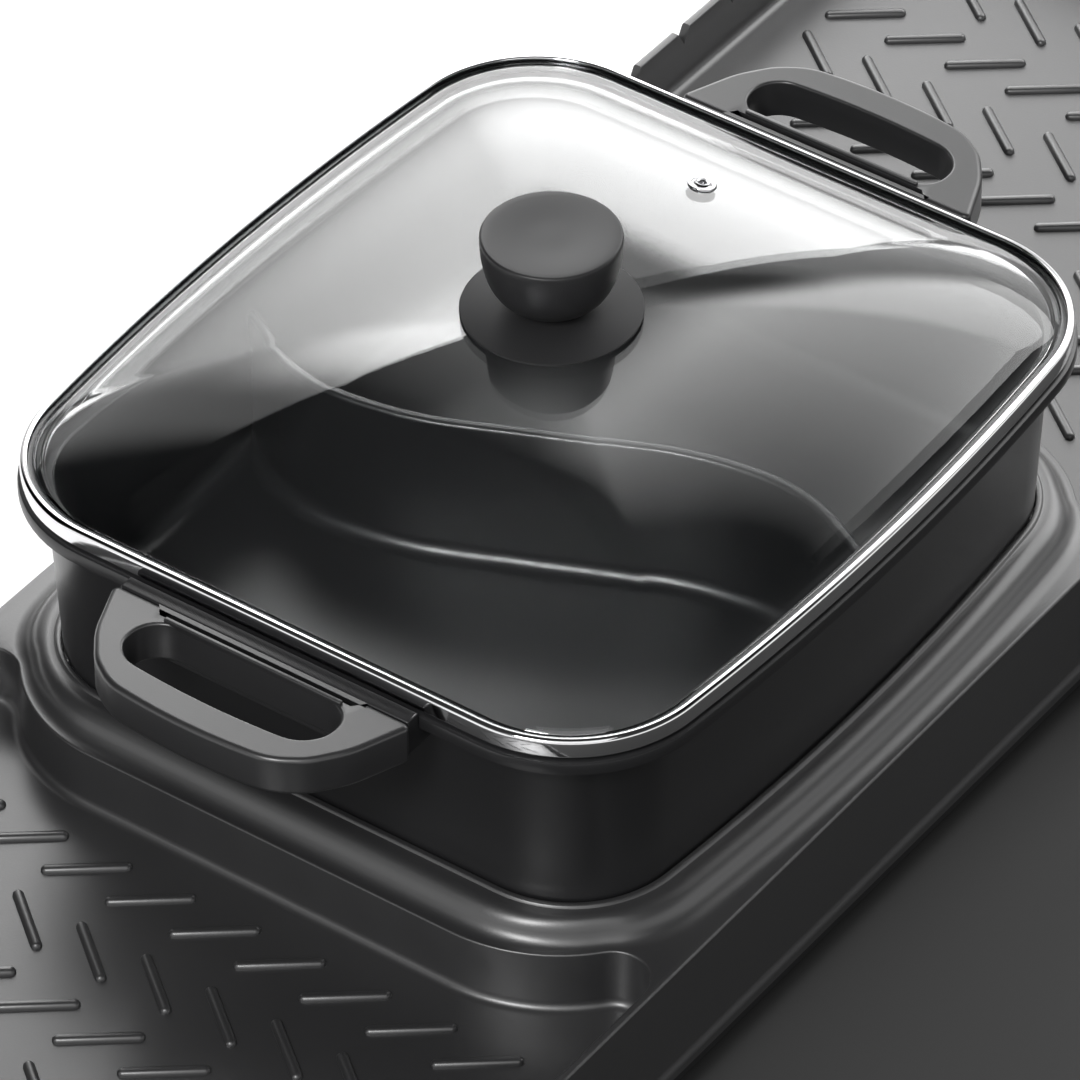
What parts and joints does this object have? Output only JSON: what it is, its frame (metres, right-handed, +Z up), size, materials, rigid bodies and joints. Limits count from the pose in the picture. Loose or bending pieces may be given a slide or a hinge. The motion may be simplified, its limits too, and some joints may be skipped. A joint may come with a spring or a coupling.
{
  "type": "electric hot pot and grill combination",
  "caption": "Long table-top electric grill with a sunken ribbed tray on each side of a raised land that carries a lift-off divided hot pot with a domed glass lid.",
  "frame": {"origin": "centre of the bounding box in plan, on the surface that the feet stand on", "axes": "+X along the long side towards the right-hand tray, +Y to the back with the inlet, +Z up"},
  "size_m": [0.8664, 0.321, 0.2054],
  "materials": {
    "nonstick": "satin black non-stick coating on cast aluminium",
    "shell": "matte",
    "handle": "satin",
    "panel": "gloss",
    "lamp": "gloss, translucent",
    "insulator": "matte",
    "rubber": "matte",
    "steel": "plain",
    "sheet_steel": "plain",
    "element": "heat-darkened",
    "bright_steel": "polished",
    "bare_aluminium": "machined",
    "brass": "plain",
    "glass": "clear tempered"
  },
  "bodies": {
    "base": {"cast_top": "nonstick", "base_housing": "shell", "rubber_feet": "rubber", "body_screws": "steel", "well_pan": "sheet_steel", "pan_screws": "steel", "heating_plate": "bare_aluminium", "plate_posts": "sheet_steel", "plate_element": "element", "thermal_fuse": "brass", "grill_element_left": "element", "grill_element_right": "element", "element_clips": "sheet_steel", "heat_shield_left": "sheet_steel", "heat_shield_right": "sheet_steel", "control_panel": "panel", "indicator_lenses": "lamp", "pot_thermostat": "insulator", "grill_thermostat": "insulator", "inlet_shroud": "shell", "inlet_pins": "brass", "terminal_block": "insulator"},
    "pot_body": {"pot": "nonstick", "handle_left": "handle", "handle_right": "handle", "handle_screws": "steel"},
    "lid_body": {"lid_rim": "bright_steel", "lid_glass": "glass", "vent_eyelet": "bright_steel", "knob_washer": "rubber", "knob_skirt": "handle", "knob_neck": "handle", "knob_grip": "handle", "knob_screw": "steel"},
    "pot_dial_body": {"pot_dial": "handle", "pot_spindle": "steel"},
    "grill_dial_body": {"grill_dial": "handle", "grill_spindle": "steel"}
  },
  "joints": [
    {"name": "pot_lift", "type": "slide", "parent": "base", "child": "pot_body", "axis": [0, 0, 1], "range_m": [0, 0.12]},
    {"name": "lid_lift", "type": "slide", "parent": "pot_body", "child": "lid_body", "axis": [0, 0, 1], "range_m": [0, 0.1]},
    {"name": "pot_dial_turn", "type": "hinge", "parent": "base", "child": "pot_dial_body", "pos_m": [0.171, -0.1465, 0.024], "axis": [0, 1, 0], "range_deg": [0, 270]},
    {"name": "grill_dial_turn", "type": "hinge", "parent": "base", "child": "grill_dial_body", "pos_m": [0.251, -0.1465, 0.024], "axis": [0, 1, 0], "range_deg": [0, 270]}
  ]
}
